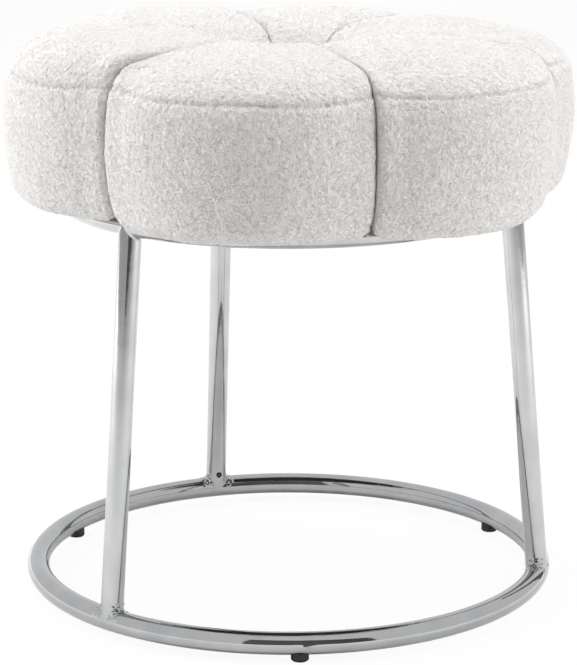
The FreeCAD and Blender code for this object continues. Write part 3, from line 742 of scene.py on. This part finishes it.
def dust_cloth(finish):
    """The thin black cloth under the seat, with slight waves between its staples."""
    bm = bmesh.new()
    bmesh.ops.create_circle(bm, segments=DUST_SIDES, radius=DUST_RADIUS)
    edges = list(bm.edges)
    for left in range(DUST_RINGS - 1, 0, -1):
        extruded = bmesh.ops.extrude_edge_only(bm, edges=edges)["geom"]
        inner = [item for item in extruded if isinstance(item, bmesh.types.BMVert)]
        edges = [item for item in extruded if isinstance(item, bmesh.types.BMEdge)]
        size = left / (left + 1)
        bmesh.ops.scale(bm, vec=(size, size, 1), verts=inner)
    bmesh.ops.contextual_create(bm, geom=edges)
    bmesh.ops.translate(bm, vec=(0, 0, DUST_LEVEL), verts=bm.verts)
    for vertex in bm.verts:
        reach = vertex.co.xy.length
        turn = math.atan2(vertex.co.y, vertex.co.x)
        between = math.cos(turn * STAPLE_COUNT) * STAPLE_WAVE
        wave = between + noise.noise(vertex.co / DUST_WAVE_SIZE) * DUST_WAVE
        vertex.co.z += wave * min(1, max(0, DUST_RADIUS - reach) / DUST_EDGE)
    bmesh.ops.solidify(bm, geom=bm.faces, thickness=DUST_THICKNESS)
    bmesh.ops.recalc_face_normals(bm, faces=bm.faces)
    cloth = new_piece("dust_cover_cloth", bm, finish)
    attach(cloth, "root")
    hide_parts("dust_cover")


# Studio

def studio_floor():
    """A white floor that keeps a faint shadow."""
    bm = bmesh.new()
    bmesh.ops.create_grid(bm, x_segments=1, y_segments=1, size=FLOOR_REACH)
    finish, tree, shader = new_finish("studio_floor")
    shader.inputs["Base Color"].default_value = (0.9, 0.9, 0.9, 1)
    shader.inputs["Roughness"].default_value = 0.9
    glow = tree.nodes.new("ShaderNodeEmission")
    path = tree.nodes.new("ShaderNodeLightPath")
    share = tree.nodes.new("ShaderNodeMath")
    share.operation = "MULTIPLY"
    share.inputs[1].default_value = FLOOR_GLOW
    tree.links.new(path.outputs["Is Camera Ray"], share.inputs[0])
    mix = tree.nodes.new("ShaderNodeMixShader")
    tree.links.new(share.outputs["Value"], mix.inputs["Fac"])
    tree.links.new(shader.outputs["BSDF"], mix.inputs[1])
    tree.links.new(glow.outputs["Emission"], mix.inputs[2])
    tree.links.new(mix.outputs["Shader"], tree.nodes["Material Output"].inputs["Surface"])
    floor = new_piece("studio_floor", bm, finish)


def white_room():
    """A white room: white to the camera, a little greyer in reflections, softer as a light."""
    world = bpy.data.worlds.new("white_room")
    bpy.context.scene.world = world
    world.use_nodes = True
    tree = world.node_tree
    path = tree.nodes.new("ShaderNodeLightPath")
    seen = tree.nodes.new("ShaderNodeMath")
    seen.operation = "MAXIMUM"
    tree.links.new(path.outputs["Is Camera Ray"], seen.inputs[0])
    tree.links.new(path.outputs["Is Transmission Ray"], seen.inputs[1])
    ray = tree.nodes.new("ShaderNodeMath")
    ray.operation = "MULTIPLY_ADD"
    ray.inputs[1].default_value = 0.5
    tree.links.new(path.outputs["Is Glossy Ray"], ray.inputs[0])
    tree.links.new(seen.outputs["Value"], ray.inputs[2])
    soft = (0.62, 0.62, 0.63)
    mirrored = (0.90, 0.91, 0.93)
    white = (1, 1, 1)
    colour = ramp(tree, ray.outputs["Value"], (0, soft), (0.5, mirrored), (1, white))
    tree.links.new(colour, tree.nodes["Background"].inputs["Color"])


def dark_screen(name, place, turn, width, height):
    """An upright dark screen out of view, which draws dark bands in the chrome."""
    bm = bmesh.new()
    bmesh.ops.create_grid(bm, x_segments=1, y_segments=1, size=0.5)
    bmesh.ops.scale(bm, verts=bm.verts, vec=(width, height, 1))
    bmesh.ops.rotate(bm, verts=bm.verts, matrix=Matrix.Rotation(math.radians(90), 3, "X"))
    bmesh.ops.rotate(bm, verts=bm.verts, matrix=Matrix.Rotation(math.radians(turn), 3, "Z"))
    bmesh.ops.translate(bm, verts=bm.verts, vec=place)
    finish, _, shader = new_finish(name)
    shader.inputs["Base Color"].default_value = (0.13, 0.12, 0.115, 1)
    shader.inputs["Roughness"].default_value = 1
    screen = new_piece(name, bm, finish)
    screen.visible_camera = False


def soft_lamp(name, place, aim, size, power):
    """A large soft studio lamp."""
    lamp = bpy.data.lights.new(name, "AREA")
    lamp.shape = "SQUARE"
    lamp.size = size
    lamp.energy = power
    holder = bpy.data.objects.new(name, lamp)
    holder.location = place
    holder.rotation_euler = (Vector(aim) - Vector(place)).to_track_quat("-Z", "Y").to_euler()
    holder.visible_glossy = False
    bpy.context.scene.collection.objects.link(holder)


def camera():
    """The photograph's view: 14 degrees down, a little from the right."""
    lens = bpy.data.cameras.new("camera")
    lens.lens = LENS
    holder = bpy.data.objects.new("camera", lens)
    holder.location = EYE
    holder.rotation_euler = (Vector(AIM) - Vector(EYE)).to_track_quat("-Z", "Y").to_euler()
    bpy.context.scene.collection.objects.link(holder)
    bpy.context.scene.camera = holder


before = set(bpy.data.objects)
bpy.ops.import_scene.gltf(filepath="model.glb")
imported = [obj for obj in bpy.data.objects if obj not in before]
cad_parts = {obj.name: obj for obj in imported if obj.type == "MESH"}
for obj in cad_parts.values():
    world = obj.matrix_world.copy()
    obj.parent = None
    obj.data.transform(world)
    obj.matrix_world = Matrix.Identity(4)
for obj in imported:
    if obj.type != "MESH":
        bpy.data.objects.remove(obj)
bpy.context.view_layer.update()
bpy.context.scene.view_settings.view_transform = "Standard"
noise.seed_set(SWIRL_SEED)

camera()
white_room()
studio_floor()
dark_screen("front_screen", place=(1.4, -2.9, 1.3), turn=0, width=3.5, height=3.0)
dark_screen("rear_screen", place=(1.5, 2.4, 1.0), turn=-31, width=0.35, height=2.4)
soft_lamp("overhead_lamp", place=(0, 0.1, 2.4), aim=(0, 0, 0.3), size=1.8, power=38)
soft_lamp("left_lamp", place=(-2.3, -0.2, 1.0), aim=(0, 0, 0.35), size=1.6, power=50)
soft_lamp("right_lamp", place=(2.3, 0, 1.0), aim=(0, 0, 0.35), size=1.6, power=35)

finish_nodes()
pattern = pattern_lobe(curly_pile())
for node, (angle, fuller, shoulder, hang) in LOBES.items():
    sewn_lobe(node, pattern, angle, fuller, shoulder, hang)
bpy.data.objects.remove(pattern)
lobed_foam(cut_foam())
weld_chrome = chrome_plate("chrome_weld", ripple=0.12 * MM)
lumpy_welds(weld_chrome)
ground_welds(weld_chrome)
turned_hem(plain_cloth("hem_cloth", low=(0.62, 0.59, 0.53), high=(0.74, 0.71, 0.65)))
dust_cloth(plain_cloth("dust_cloth", low=(0.012, 0.012, 0.012), high=(0.03, 0.03, 0.03)))
